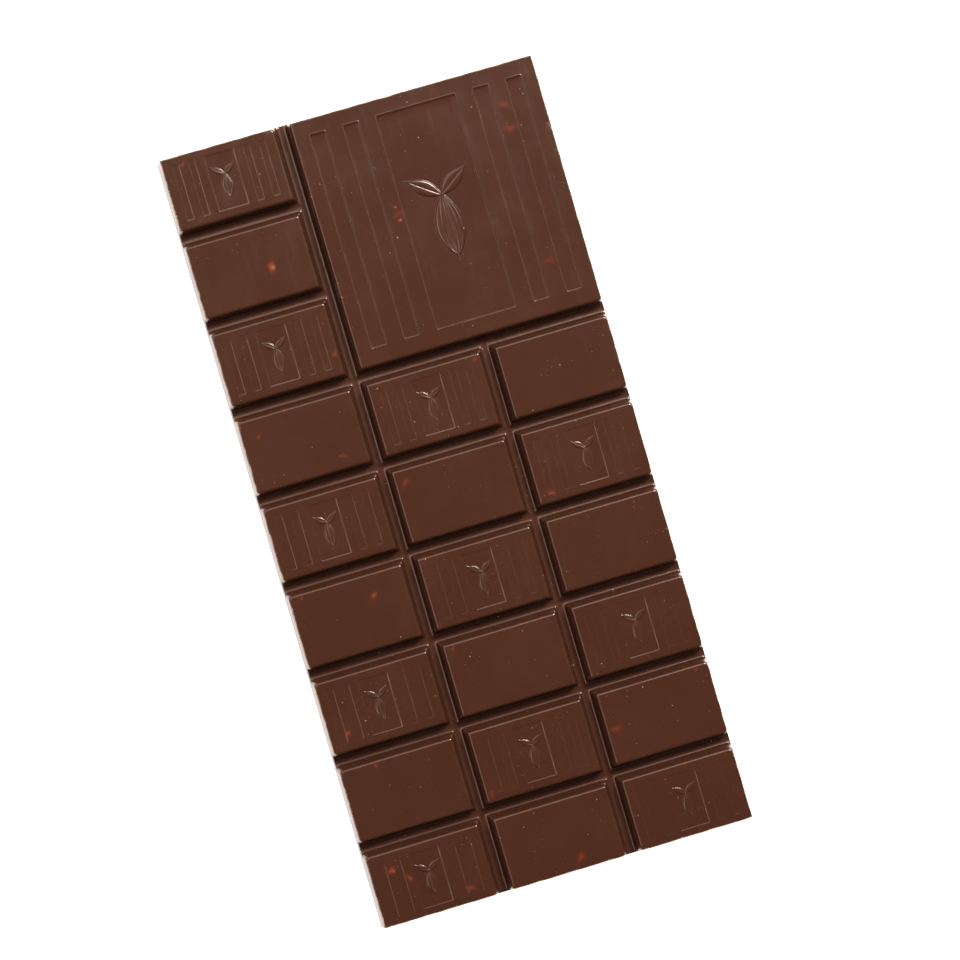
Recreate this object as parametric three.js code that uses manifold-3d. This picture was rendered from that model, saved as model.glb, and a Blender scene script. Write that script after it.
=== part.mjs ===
// Moulded dark chocolate bar, lying on its flat back with the moulded side up.
// Millimetres, +Z up, +Y along the bar's length, origin at the middle of its flat back.
import * as THREE from "three";
import { mergeVertices } from "three/addons/utils/BufferGeometryUtils.js";
import Module from "manifold-3d";

const wasm = await Module();
wasm.setup();

// Layout of the segments
const COLUMNS = 3;
const ROWS = 9;
const PANEL_ROWS = 3;
const FACE_WIDTH = 23.2;
const FACE_LENGTH = 14.46;
const GROOVE_GAP = 3.52;
const PITCH_X = FACE_WIDTH + GROOVE_GAP;
const PITCH_Y = FACE_LENGTH + GROOVE_GAP;

// Body of the bar
const THICKNESS = 7.2;
const DRAFT = 0.62;
const TOP_WIDTH = COLUMNS * FACE_WIDTH + (COLUMNS - 1) * GROOVE_GAP;
const TOP_LENGTH = ROWS * FACE_LENGTH + (ROWS - 1) * GROOVE_GAP;
const CORNER_RADIUS = 0.5;
const CORNER_STEPS = 4;
const RIM_RADIUS = 0.3;
const BACK_CHAMFER = 0.2;

// Grooves between the segments
const GROOVE_DEPTH = 3.6;
const FLOOR_HALF = 0.42;
const FOOT_HALF = 0.98;
const FOOT_RISE = 0.42;
const MOUTH_HALF = 1.58;
const OVERRUN = 2;

// Relief on the faces
const RELIEF_DEPTH = 0.28;
const RELIEF_TAPER = 0.12;
const SMALL_STRIPE = 1.5;
const SMALL_GAP = 1.75;
const SMALL_MARGIN_X = 2.0;
const SMALL_MARGIN_Y = 1.5;
const PANEL_STRIPE = 3.1;
const PANEL_GAP = 3.7;
const PANEL_MARGIN = 3.2;
const STRIPES_A_SIDE = 2;

// Cocoa pod with two leaves, standing in each field; sizes for a field one unit high
const POD_HEIGHT = 0.5;
const POD_WIDTH = 0.235;
const POD_CENTRE = -0.1;
const POD_STEPS = 18;
const LEAF_LENGTH = 0.3;
const LEAF_WIDTH = 0.115;
const LEAF_ANGLE = 0.62;
const LEAF_STEPS = 10;
const MOTIF_DROP = 0.03;

const DARK_CHOCOLATE = new THREE.MeshStandardMaterial({
  color: 0x56362a,
  roughness: 0.42,
  metalness: 0,
});

// Closed three.js geometry as a solid that can be joined and cut.
function solidFrom(geometry) {
  const bare = geometry.clone();
  bare.deleteAttribute("normal");
  bare.deleteAttribute("uv");
  const merged = mergeVertices(bare, 1e-4);
  return new wasm.Manifold(
    new wasm.Mesh({
      numProp: 3,
      vertProperties: new Float32Array(merged.attributes.position.array),
      triVerts: new Uint32Array(merged.index.array),
    }),
  );
}

// Solid as a three.js geometry with flat faces.
function geometryFrom(solid) {
  const mesh = solid.getMesh();
  const geometry = new THREE.BufferGeometry();
  geometry.setAttribute(
    "position",
    new THREE.BufferAttribute(mesh.vertProperties, 3),
  );
  geometry.setIndex(new THREE.BufferAttribute(mesh.triVerts, 1));
  geometry.computeVertexNormals();
  return geometry;
}

// Outline of a rectangle with rounded corners, anticlockwise.
function roundedOutline(halfWidth, halfLength, radius) {
  const points = [];
  const corners = [
    [halfWidth - radius, halfLength - radius, 0],
    [radius - halfWidth, halfLength - radius, 1],
    [radius - halfWidth, radius - halfLength, 2],
    [halfWidth - radius, radius - halfLength, 3],
  ];
  for (const [x, y, quarter] of corners) {
    for (let i = 0; i <= CORNER_STEPS; i++) {
      const angle = ((quarter + i / CORNER_STEPS) * Math.PI) / 2;
      points.push([x + radius * Math.cos(angle), y + radius * Math.sin(angle)]);
    }
  }
  return points;
}

// Solid through outlines of equal point count at rising heights, closed by fans.
function loft(levels) {
  const count = levels[0].points.length;
  const positions = [];
  const faces = [];
  for (const level of levels) {
    for (const [x, y] of level.points) positions.push(x, y, level.z);
  }
  for (let level = 0; level + 1 < levels.length; level++) {
    for (let i = 0; i < count; i++) {
      const a = level * count + i;
      const b = level * count + ((i + 1) % count);
      faces.push(a, b, b + count, a, b + count, a + count);
    }
  }
  const top = (levels.length - 1) * count;
  for (let i = 1; i + 1 < count; i++) {
    faces.push(0, i + 1, i);
    faces.push(top, top + i, top + i + 1);
  }
  const geometry = new THREE.BufferGeometry();
  geometry.setAttribute(
    "position",
    new THREE.Float32BufferAttribute(positions, 3),
  );
  geometry.setIndex(faces);
  return geometry;
}

// Body of the bar without its grooves: drafted walls, a rounded rim and a broken back edge.
function makeSlab() {
  const level = (inset, z) => ({
    points: roundedOutline(
      TOP_WIDTH / 2 + DRAFT - inset,
      TOP_LENGTH / 2 + DRAFT - inset,
      CORNER_RADIUS,
    ),
    z,
  });
  const slope = DRAFT / THICKNESS;
  const rimStart = THICKNESS - RIM_RADIUS;
  const halfWay = RIM_RADIUS * (1 - Math.SQRT1_2);
  return solidFrom(
    loft([
      level(BACK_CHAMFER, 0),
      level(BACK_CHAMFER * slope, BACK_CHAMFER),
      level(rimStart * slope, rimStart),
      level(DRAFT + halfWay, THICKNESS - halfWay),
      level(DRAFT + RIM_RADIUS, THICKNESS),
    ]),
  );
}

// Half of a groove's cross-section as offsets from its middle and depths below the faces.
function halfGroove() {
  return [
    [FLOOR_HALF, GROOVE_DEPTH],
    [FOOT_HALF - 0.16, GROOVE_DEPTH - 0.13],
    [FOOT_HALF, GROOVE_DEPTH - FOOT_RISE],
    [MOUTH_HALF, 0.2],
    [MOUTH_HALF + 0.06, 0.07],
    [GROOVE_GAP / 2 + 0.02, -0.02],
    [GROOVE_GAP / 2 + 0.02, -OVERRUN],
  ];
}

// Prism that cuts one groove, running along +Z of its own frame from zero.
function grooveCutter(length) {
  const half = halfGroove();
  const shape = new THREE.Shape();
  half.forEach(([offset, depth], i) => {
    if (i === 0) shape.moveTo(offset, -depth);
    else shape.lineTo(offset, -depth);
  });
  for (const [offset, depth] of [...half].reverse()) {
    shape.lineTo(-offset, -depth);
  }
  return new THREE.ExtrudeGeometry(shape, { depth: length, bevelEnabled: false });
}

// Groove along the bar between two columns, from its lower end up to topY.
function lengthwiseGroove(x, topY) {
  const bottomY = -TOP_LENGTH / 2 - OVERRUN;
  const cutter = grooveCutter(topY - bottomY);
  cutter.rotateX(Math.PI / 2);
  cutter.translate(x, topY, THICKNESS);
  return solidFrom(cutter);
}

// Groove across the bar between two rows, from its left side to rightX.
function crosswiseGroove(y, rightX) {
  const leftX = -TOP_WIDTH / 2 - OVERRUN;
  const cutter = grooveCutter(rightX - leftX);
  cutter.rotateX(Math.PI / 2);
  cutter.rotateZ(Math.PI / 2);
  cutter.translate(leftX, y, THICKNESS);
  return solidFrom(cutter);
}

const columnX = (column) => (column - (COLUMNS - 1) / 2) * PITCH_X;
const rowY = (row) => ((ROWS - 1) / 2 - row) * PITCH_Y;

// All grooves; the panel takes the place of six segments, so three of them stop at it.
function makeGrooves() {
  const past = TOP_LENGTH / 2 + OVERRUN;
  const panelLeft = columnX(0) + PITCH_X / 2;
  const panelBottom = rowY(PANEL_ROWS - 1) - PITCH_Y / 2;
  const cuts = [
    lengthwiseGroove(panelLeft, past),
    lengthwiseGroove(columnX(1) + PITCH_X / 2, panelBottom),
  ];
  for (let row = 0; row + 1 < ROWS; row++) {
    const right = row + 1 < PANEL_ROWS ? panelLeft : TOP_WIDTH / 2 + OVERRUN;
    cuts.push(crosswiseGroove(rowY(row) - PITCH_Y / 2, right));
  }
  return cuts;
}

// Shallow recess with sloping sides; its middle, half sizes and the height of its floor.
function recess(x, halfWidth, y, halfLength) {
  const corners = (grow) => [
    [x + halfWidth + grow, y + halfLength + grow],
    [x - halfWidth - grow, y + halfLength + grow],
    [x - halfWidth - grow, y - halfLength - grow],
    [x + halfWidth + grow, y - halfLength - grow],
  ];
  const floor = THICKNESS - RELIEF_DEPTH;
  const above = THICKNESS + RELIEF_DEPTH;
  return solidFrom(
    loft([
      { points: corners(-RELIEF_TAPER / 2), z: floor },
      { points: corners(RELIEF_TAPER * 1.5), z: above },
    ]),
  );
}

// Outline of the pod: blunt below, drawn out to a point above.
function podShape(size) {
  const shape = new THREE.Shape();
  const point = (side, t) => {
    const belly = Math.pow(Math.sin(Math.PI * t), 0.72) * (1.12 - 0.32 * t);
    return [
      (side * size * POD_WIDTH * belly) / 2,
      size * (POD_CENTRE + POD_HEIGHT * (t - 0.5)),
    ];
  };
  const half = POD_STEPS / 2;
  shape.moveTo(...point(1, 0));
  for (let i = 1; i <= half; i++) shape.lineTo(...point(1, i / half));
  for (let i = half - 1; i > 0; i--) shape.lineTo(...point(-1, i / half));
  return shape;
}

// Outline of one leaf that grows from the pod's stalk to the given side.
function leafShape(size, side) {
  const shape = new THREE.Shape();
  const rootY = POD_CENTRE + POD_HEIGHT / 2 - 0.01;
  const along = [side * Math.cos(LEAF_ANGLE), Math.sin(LEAF_ANGLE)];
  const point = (edge, t) => {
    const width = (edge * LEAF_WIDTH * Math.sin(Math.PI * t)) / 2;
    const reach = LEAF_LENGTH * t - 0.012;
    return [
      size * (along[0] * reach - along[1] * width),
      size * (rootY + along[1] * reach + along[0] * width),
    ];
  };
  const half = LEAF_STEPS / 2;
  const first = -side;
  shape.moveTo(...point(first, 0));
  for (let i = 1; i <= half; i++) shape.lineTo(...point(first, i / half));
  for (let i = half - 1; i > 0; i--) shape.lineTo(...point(-first, i / half));
  return shape;
}

// Pod and leaves as one solid standing from below the field's floor to almost the face.
function motif(x, y, size) {
  const base = THICKNESS - 2 * RELIEF_DEPTH;
  const depth = 2 * RELIEF_DEPTH - MOTIF_DROP;
  const parts = [podShape(size), leafShape(size, 1), leafShape(size, -1)].map(
    (shape) => {
      const prism = new THREE.ExtrudeGeometry(shape, {
        depth,
        bevelEnabled: false,
      });
      prism.translate(x, y, base);
      return solidFrom(prism);
    },
  );
  return parts[0].add(parts[1]).add(parts[2]);
}

// Cutters for one face: stripes on both sides of a field with the motif.
function reliefCutters(face) {
  const { x, y, width, length, stripe, gap, marginX, marginY } = face;
  const halfLength = length / 2 - marginY;
  const cuts = [];
  for (let i = 0; i < STRIPES_A_SIDE; i++) {
    const offset = width / 2 - marginX - stripe / 2 - i * (stripe + gap);
    cuts.push(recess(x - offset, stripe / 2, y, halfLength));
    cuts.push(recess(x + offset, stripe / 2, y, halfLength));
  }
  const fieldHalf = width / 2 - marginX - STRIPES_A_SIDE * (stripe + gap);
  const field = recess(x, fieldHalf, y, halfLength);
  const size = Math.min(2 * halfLength, fieldHalf * 3.1);
  cuts.push(field.subtract(motif(x, y, size)));
  return cuts;
}

// Decorated small segments, as in a chessboard that the panel interrupts.
function isDecorated(column, row) {
  if (column > 0 && row < PANEL_ROWS) return false;
  return (column + row) % 2 === 0;
}

function smallFace(column, row) {
  return {
    x: columnX(column),
    y: rowY(row),
    width: FACE_WIDTH,
    length: FACE_LENGTH,
    stripe: SMALL_STRIPE,
    gap: SMALL_GAP,
    marginX: SMALL_MARGIN_X,
    marginY: SMALL_MARGIN_Y,
  };
}

function panelFace() {
  return {
    x: (columnX(1) + columnX(2)) / 2,
    y: rowY((PANEL_ROWS - 1) / 2),
    width: FACE_WIDTH + PITCH_X,
    length: FACE_LENGTH + (PANEL_ROWS - 1) * PITCH_Y,
    stripe: PANEL_STRIPE,
    gap: PANEL_GAP,
    marginX: PANEL_MARGIN,
    marginY: PANEL_MARGIN,
  };
}

function makeRelief() {
  const cuts = reliefCutters(panelFace());
  for (let column = 0; column < COLUMNS; column++) {
    for (let row = 0; row < ROWS; row++) {
      if (isDecorated(column, row)) {
        cuts.push(...reliefCutters(smallFace(column, row)));
      }
    }
  }
  return cuts;
}

function makeBar() {
  let solid = makeSlab();
  for (const cut of [...makeGrooves(), ...makeRelief()]) {
    solid = solid.subtract(cut);
  }
  const mesh = new THREE.Mesh(geometryFrom(solid), DARK_CHOCOLATE);
  mesh.name = "chocolate_bar";
  return mesh;
}

const bar = new THREE.Group();
bar.add(makeBar());

export default bar;
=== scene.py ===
"""Moulded dark chocolate bar: its fine surface, finish, crumbs, floor, light and camera.

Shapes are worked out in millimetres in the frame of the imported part: +Y along the bar,
+Z up, origin in the middle of the flat back. Meshes are written in metres.
"""
import itertools
import logging
import math
from dataclasses import dataclass, field
from enum import Enum
from typing import Any, Iterable, Optional, Union

import bpy
import numpy as np
from mathutils import Euler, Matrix
from mathutils.geometry import delaunay_2d_cdt


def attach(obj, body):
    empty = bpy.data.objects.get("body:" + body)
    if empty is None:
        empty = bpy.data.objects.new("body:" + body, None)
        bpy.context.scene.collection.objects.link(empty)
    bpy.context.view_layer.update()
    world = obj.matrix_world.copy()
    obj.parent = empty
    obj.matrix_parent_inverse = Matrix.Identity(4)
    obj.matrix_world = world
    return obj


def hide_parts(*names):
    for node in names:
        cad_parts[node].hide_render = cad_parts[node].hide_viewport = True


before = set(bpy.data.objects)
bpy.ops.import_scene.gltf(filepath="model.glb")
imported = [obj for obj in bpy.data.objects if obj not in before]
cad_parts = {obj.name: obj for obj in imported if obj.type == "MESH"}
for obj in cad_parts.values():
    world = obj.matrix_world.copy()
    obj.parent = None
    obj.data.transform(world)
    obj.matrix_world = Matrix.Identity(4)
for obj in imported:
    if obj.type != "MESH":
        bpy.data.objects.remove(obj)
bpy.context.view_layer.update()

MM = 0.001
SEED = 29
LOG = logging.getLogger("chocolate_bar")
CORNER_STEPS = 5
END_STOPS = (0.16, 0.38, 0.7, 1.15, 1.75)
FINE_STEPS = (
    -0.2, -0.14, -0.11, -0.085, -0.06, -0.035, -0.005, 0.025, 0.05, 0.075, 0.105, 0.24, 0.4, 0.54,
)
COARSE_STEPS = (-0.14, -0.05, -0.005, 0.055, 0.11, 0.165, 0.225, 0.3, 0.54)
SPOT_RINGS = ((0.22, 8), (0.45, 14), (0.7, 18), (1.0, 20), (1.4, 18))
Colour = tuple[float, float, float, float]
Tint = tuple[float, float, float]
Place = tuple[float, float, float]
Span = tuple[float, float]
Box = tuple[float, float, float, float]


class Side(Enum):
    """What a side of a segment borders on."""

    GROOVE = "groove"
    OUTER = "outer"

    @classmethod
    def at(cls, last: bool) -> "Side":
        """Side towards the bar's edge when nothing follows, and towards a groove otherwise."""
        return cls.OUTER if last else cls.GROOVE


class Finish(Enum):
    """Vertex attributes that the chocolate's material reads."""

    FRUIT = "fruit"
    # Pale paint on edges: wear on the back rim, painted highlight on rims and relief edges,
    # partly wear on rims.
    EDGE = "edge_wear_and_sheen"
    POURED = "poured"
    TIP = "fruit_tip"


@dataclass(frozen=True)
class MouldSizes:
    """Layout of the bar's segments and body, the same as in the solid."""

    columns: int = 3
    rows: int = 9
    panel_rows: int = 3
    face_width: float = 23.2
    face_length: float = 14.46
    gap: float = 3.52
    thickness: float = 7.2
    groove_depth: float = 3.6
    draft: float = 0.62

    @property
    def pitch_x(self) -> float:
        """Distance between columns."""
        return self.face_width + self.gap

    @property
    def pitch_y(self) -> float:
        """Distance between rows."""
        return self.face_length + self.gap

    @property
    def half_width(self) -> float:
        """Half the width of the moulded face."""
        return (self.columns * self.pitch_x - self.gap) / 2

    @property
    def half_length(self) -> float:
        """Half the length of the moulded face."""
        return (self.rows * self.pitch_y - self.gap) / 2

    def column_x(self, column: int) -> float:
        """Middle of a column, counted from the left."""
        return (column - (self.columns - 1) / 2) * self.pitch_x

    def row_y(self, row: int) -> float:
        """Middle of a row, counted from the top."""
        return ((self.rows - 1) / 2 - row) * self.pitch_y


@dataclass(frozen=True)
class Contour:
    """One level line round a segment."""

    groove_reach: float
    outer_reach: float
    depth: float
    inner_radius: float
    lip_radius: float
    bar_radius: float

    def reach(self, side: Side) -> float:
        """How far the line lies beyond a side of the face."""
        return self.outer_reach if side is Side.OUTER else self.groove_reach

    def radius(self, first: Side, second: Side) -> float:
        """Radius of the line's corner between two sides."""
        plain = self.bar_radius if first is Side.OUTER else self.inner_radius
        return plain if first is second else self.lip_radius


@dataclass(frozen=True)
class WallProfile:
    """Cross-section of the segments' rims, walls and groove floors."""

    rim_radius: float = 0.54
    outer_rim_radius: float = 0.26
    rim_start: float = -0.28
    outer_rim_start: float = -0.22
    rim_steps: int = 5
    holding: float = 0.05
    lean: float = math.radians(10.5)
    outer_lean: float = math.atan(0.62 / 7.2)
    wall_shares: tuple[float, ...] = (0.33, 0.66)
    foot_radius: float = 0.42
    foot_steps: int = 4
    floor_dip: float = 0.07
    floor_rows: int = 3
    inner_radius: float = 0.3
    lip_radius: float = 0.75
    bar_radius: float = 0.3

    def contours(self, sizes: MouldSizes) -> list[Contour]:
        """Work out the level lines from the face down to the middle of a groove.

        Args:
            sizes: Layout of the bar.

        Returns:
            Contours from the flat of the face outwards.
        """
        lines = [(self.rim_start - self.holding, self.outer_rim_start - self.holding, 0.0)]
        for i in range(self.rim_steps + 1):
            turn = (math.pi / 2 - self.lean) * i / self.rim_steps
            lines.append(self._rim_point(turn))
        rim_last = len(lines) - 1
        rim_reach, outer_rim, rim_depth = lines[-1]
        foot_depth = sizes.groove_depth - self.foot_radius * (1 - math.sin(self.lean))
        foot_reach = rim_reach + (foot_depth - rim_depth) * math.tan(self.lean)
        for share in self.wall_shares:
            depth = rim_depth + (foot_depth - rim_depth) * share
            lines.append((rim_reach + (depth - rim_depth) * math.tan(self.lean), 0.0, depth))
        centre = foot_reach + self.foot_radius * math.cos(self.lean)
        for i in range(self.foot_steps + 1):
            turn = self.lean + (math.pi / 2 - self.lean) * i / self.foot_steps
            reach = centre - self.foot_radius * math.cos(turn)
            depth = sizes.groove_depth - self.foot_radius * (1 - math.sin(turn))
            lines.append((reach, 0.0, depth))
        lines.append((sizes.gap / 2, 0.0, sizes.groove_depth + self.floor_dip))
        last = len(lines) - 1
        result = []
        for i, (reach, outer, depth) in enumerate(lines):
            if i > rim_last:
                outer = outer_rim + (depth - rim_depth) * math.tan(self.outer_lean)
            fade = max(0.0, (i - last + self.floor_rows) / self.floor_rows)
            inner, lip = self.inner_radius * (1 - fade), self.lip_radius * (1 - fade)
            result.append(Contour(reach, outer, depth, inner, lip, self.bar_radius))
        return result

    def _rim_point(self, turn: float) -> tuple[float, float, float]:
        """Point of the rounded rim as groove reach, outer reach and depth.

        Args:
            turn: How far the rim has turned down, in radians.

        Returns:
            The three measures of the point.
        """
        reach = self.rim_start + self.rim_radius * math.sin(turn)
        outer = self.outer_rim_start + self.outer_rim_radius * math.sin(turn)
        return reach, outer, self.rim_radius * (1 - math.cos(turn))


def ring_faces(rows: int, count: int) -> list[tuple[int, ...]]:
    """Quads between closed rows of points that follow each other.

    Args:
        rows: Number of rows.
        count: Points in each row.

    Returns:
        Corners of the quads.
    """
    faces = []
    for start in range(0, (rows - 1) * count, count):
        for i in range(count):
            a, b = start + i, start + (i + 1) % count
            faces.append((a, a + count, b + count, b))
    return faces


def placed(name: str, data: bpy.types.ID) -> bpy.types.Object:
    """Put new data into the scene as an object at the origin.

    Args:
        name: Name of the object.
        data: Its mesh, light or camera.

    Returns:
        The new object.
    """
    item = bpy.data.objects.new(name, data)
    bpy.context.collection.objects.link(item)
    return item


def smooth_step(value: np.ndarray) -> np.ndarray:
    """Ease from 0 to 1 with flat ends."""
    t = np.clip(value, 0.0, 1.0)
    return t * t * (3 - 2 * t)


@dataclass(frozen=True)
class Recess:
    """Shallow rectangular recess with soft sloping sides."""

    x: float
    y: float
    half_x: float
    half_y: float
    end_slope: float = 0.5
    slope: float = 0.1
    corner: float = 0.18
    least_corner: float = 0.03
    corner_steps: int = 3
    bead_place: float = -0.07
    bead_width: float = 0.045
    # Band along the recess's edge that gets pale paint as a painted highlight line.
    sheen_band: Span = (-0.12, 0.03)

    def inside(self, x: np.ndarray, y: np.ndarray) -> np.ndarray:
        """Distance inside the recess's edge, negative outside it.

        Args:
            x: Places across the bar.
            y: Places along the bar.

        Returns:
            Distance of each point.
        """
        dx = np.abs(x - self.x) - self.half_x + self.corner
        dy = np.abs(y - self.y) - self.half_y + self.corner
        away = np.hypot(np.maximum(dx, 0), np.maximum(dy, 0))
        return self.corner - away - np.minimum(np.maximum(dx, dy), 0)

    def share(self, x: np.ndarray, y: np.ndarray) -> np.ndarray:
        """How far down the recess's slopes each point lies, from 0 to 1."""
        end = np.clip((self.y + self.half_y - y) / self.end_slope, 0, 1)
        return np.minimum(smooth_step(self.inside(x, y) / self.slope), end)

    def bead(self, x: np.ndarray, y: np.ndarray) -> np.ndarray:
        """Height of the fine bead along the recess's edge, from 0 to 1."""
        return np.exp(-(((self.inside(x, y) - self.bead_place) / self.bead_width) ** 2))

    def sheen_and_wear_edges(self, x: np.ndarray, y: np.ndarray) -> np.ndarray:
        """Which points lie on the long and lower edges that get a pale painted highlight line."""
        inside, (low, high) = self.inside(x, y), self.sheen_band
        return (inside > low) & (inside < high) & (y < self.y + self.half_y - self.end_slope)

    def loops(self, steps_in: Iterable[float], spacing: float) -> list[np.ndarray]:
        """Rows of points along the slope.

        Args:
            steps_in: How far inside the recess's edge each row lies.
            spacing: Distance between points on a straight.

        Returns:
            Closed loops of points, from the outside inwards.
        """
        result = []
        for shift in steps_in:
            hx, hy = self.half_x - shift, self.half_y - shift
            r = max(self.corner - shift, self.least_corner)
            points: list[tuple[float, float]] = []
            corners = ((hx - r, hy - r), (r - hx, hy - r), (r - hx, r - hy), (hx - r, r - hy))
            for quarter, (cx, cy) in enumerate(corners):
                for i in range(self.corner_steps + 1):
                    turn = (quarter + i / self.corner_steps) * math.pi / 2
                    points.append((cx + r * math.cos(turn), cy + r * math.sin(turn)))
                nx, ny = corners[(quarter + 1) % 4]
                turn = (quarter + 1) * math.pi / 2
                start = (cx + r * math.cos(turn), cy + r * math.sin(turn))
                end = (nx + r * math.cos(turn), ny + r * math.sin(turn))
                length = 2 * (self.half_x if quarter % 2 == 0 else self.half_y)
                steps = max(3, round(length / spacing))
                for t in (i / steps for i in range(1, steps)):
                    points.append(tuple(a + (b - a) * t for a, b in zip(start, end)))
            result.append(np.array(points) + (self.x, self.y))
        return result


@dataclass(frozen=True)
class PodMotif:
    """Cocoa pod with two leaves; its sizes are for a motif one unit high."""

    x: float
    y: float
    size: float
    pod_height: float = 0.5
    pod_width: float = 0.235
    pod_centre: float = -0.1
    leaf_length: float = 0.3
    leaf_width: float = 0.115
    leaf_angle: float = 0.62
    ribs: float = 2.5
    leaf_overlap: float = 0.012
    leaf_sink: float = 0.01
    outline: float = 0.14
    pod_steps: int = 13
    leaf_steps: int = 8
    pod_shares: tuple[float, ...] = (
        0.0, 0.12, 0.2, 0.28, 0.4, 0.52, 0.6, 0.68, 0.8, 0.88, 0.94, 0.98, 1.0,
    )
    leaf_shares: tuple[float, ...] = (0.0, 0.07, 0.14, 0.24, 0.5, 0.72, 0.84, 0.93, 0.98, 1.0)

    def height(self, x: np.ndarray, y: np.ndarray) -> np.ndarray:
        """Height of the motif over its field as a share of the field's depth.

        Args:
            x: Places across the bar.
            y: Places along the bar.

        Returns:
            0 beside the motif and about 1 on its ridges.
        """
        u, v = (x - self.x) / self.size, (y - self.y) / self.size
        best = self._pod(u, v)
        for side in (-1, 1):
            best = np.maximum(best, self._leaf(u, v, side))
        return best

    def near(self, x: np.ndarray, y: np.ndarray, margin: float) -> np.ndarray:
        """Which points lie on the motif or within a margin of it.

        Args:
            x: Places across the bar.
            y: Places along the bar.
            margin: Distance that still counts as near.

        Returns:
            Whether each point is near.
        """
        result = np.zeros(x.shape, bool)
        for turn in np.arange(0, 2 * math.pi, math.pi / 4):
            dx, dy = margin * math.cos(turn), margin * math.sin(turn)
            result |= self.height(x + dx, y + dy) > 0
        return result | (self.height(x, y) > 0)

    def lines(self) -> list[np.ndarray]:
        """Open lines of points along the pod's ribs and the leaves' veins.

        Returns:
            Lines that become edges of the face's mesh.
        """
        result = []
        outside = self.outline / self.size
        steps = np.linspace(0.09, 0.93, self.pod_steps)
        t = np.concatenate([[0.012, 0.04], steps, [0.965, 0.988]])
        half = self._pod_half(t)
        v = self.pod_centre + self.pod_height * (t - 0.5)
        for share in self.pod_shares:
            for side in (-1, 1) if share else (1,):
                result.append(self._placed(side * share * half, v))
        for side in (-1, 1):
            result.append(self._placed(side * (half + outside), v))
            result.extend(self._leaf_lines(side, outside))
        return result

    def _leaf_lines(self, side: int, outside: float) -> list[np.ndarray]:
        """Lines of points along one leaf.

        Args:
            side: -1 for the left leaf and 1 for the right one.
            outside: Distance of the outline from the leaf's edge.

        Returns:
            Lines along the vein, the flanks and the outline.
        """
        ax, ay = side * math.cos(self.leaf_angle), math.sin(self.leaf_angle)
        t = np.concatenate([[0.03], np.linspace(0.09, 0.91, self.leaf_steps), [0.97]])
        half = self.leaf_width / 2 * np.sin(math.pi * t)
        reach = self.leaf_length * t - self.leaf_overlap
        offsets = []
        for share in self.leaf_shares:
            offsets += [way * share * half for way in ((-1, 1) if share else (1,))]
        return [
            self._placed(ax * reach - ay * across, self._leaf_root + ay * reach + ax * across)
            for across in [*offsets, half + outside, -half - outside]
        ]

    @property
    def _leaf_root(self) -> float:
        """Height of the leaves' common root in the unit motif."""
        return self.pod_centre + self.pod_height / 2 - self.leaf_sink

    def _placed(self, u: np.ndarray, v: np.ndarray) -> np.ndarray:
        """Points of the unit motif in the bar's frame."""
        return np.column_stack([self.x + u * self.size, self.y + v * self.size])

    def _pod_half(self, t: np.ndarray) -> np.ndarray:
        """Half the pod's width from its lower end (0) to its tip (1)."""
        return self.pod_width / 2 * np.sin(math.pi * t) ** 0.72 * (1.12 - 0.32 * t)

    def _pod(self, u: np.ndarray, v: np.ndarray) -> np.ndarray:
        """Height of the ribbed pod.

        Args:
            u: Places across the unit motif.
            v: Places along the unit motif.

        Returns:
            0 beside the pod and up to 1 on its ribs.
        """
        t = (v - self.pod_centre) / self.pod_height + 0.5
        inside = (t > 0) & (t < 1)
        t = np.clip(t, 1e-4, 1 - 1e-4)
        half = self._pod_half(t)
        across = np.clip(np.abs(u) / half, 0, 1)
        dome = np.sqrt(1 - across**6)
        ribs = 0.66 + 0.34 * np.abs(np.cos(self.ribs * math.pi * u / half))
        return np.where(inside & (np.abs(u) < half), dome * ribs, 0.0)

    def _leaf(self, u: np.ndarray, v: np.ndarray, side: int) -> np.ndarray:
        """Height of one leaf with its midrib.

        Args:
            u: Places across the unit motif.
            v: Places along the unit motif.
            side: -1 for the left leaf and 1 for the right one.

        Returns:
            0 beside the leaf and up to 0.8 on it.
        """
        root = self._leaf_root
        ax, ay = side * math.cos(self.leaf_angle), math.sin(self.leaf_angle)
        along = (u * ax + (v - root) * ay + self.leaf_overlap) / self.leaf_length
        across = u * -ay + (v - root) * ax
        inside = (along > 0) & (along < 1)
        half = self.leaf_width / 2 * np.sin(math.pi * np.clip(along, 1e-3, 1 - 1e-3))
        share = np.clip(np.abs(across) / half, 0, 1)
        dome = 0.8 * np.sqrt(1 - share**6)
        rib = 1 - 0.25 * np.exp(-((across / (self.leaf_width * 0.07)) ** 2))
        return np.where(inside & (np.abs(across) < half), dome * rib, 0.0)


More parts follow.
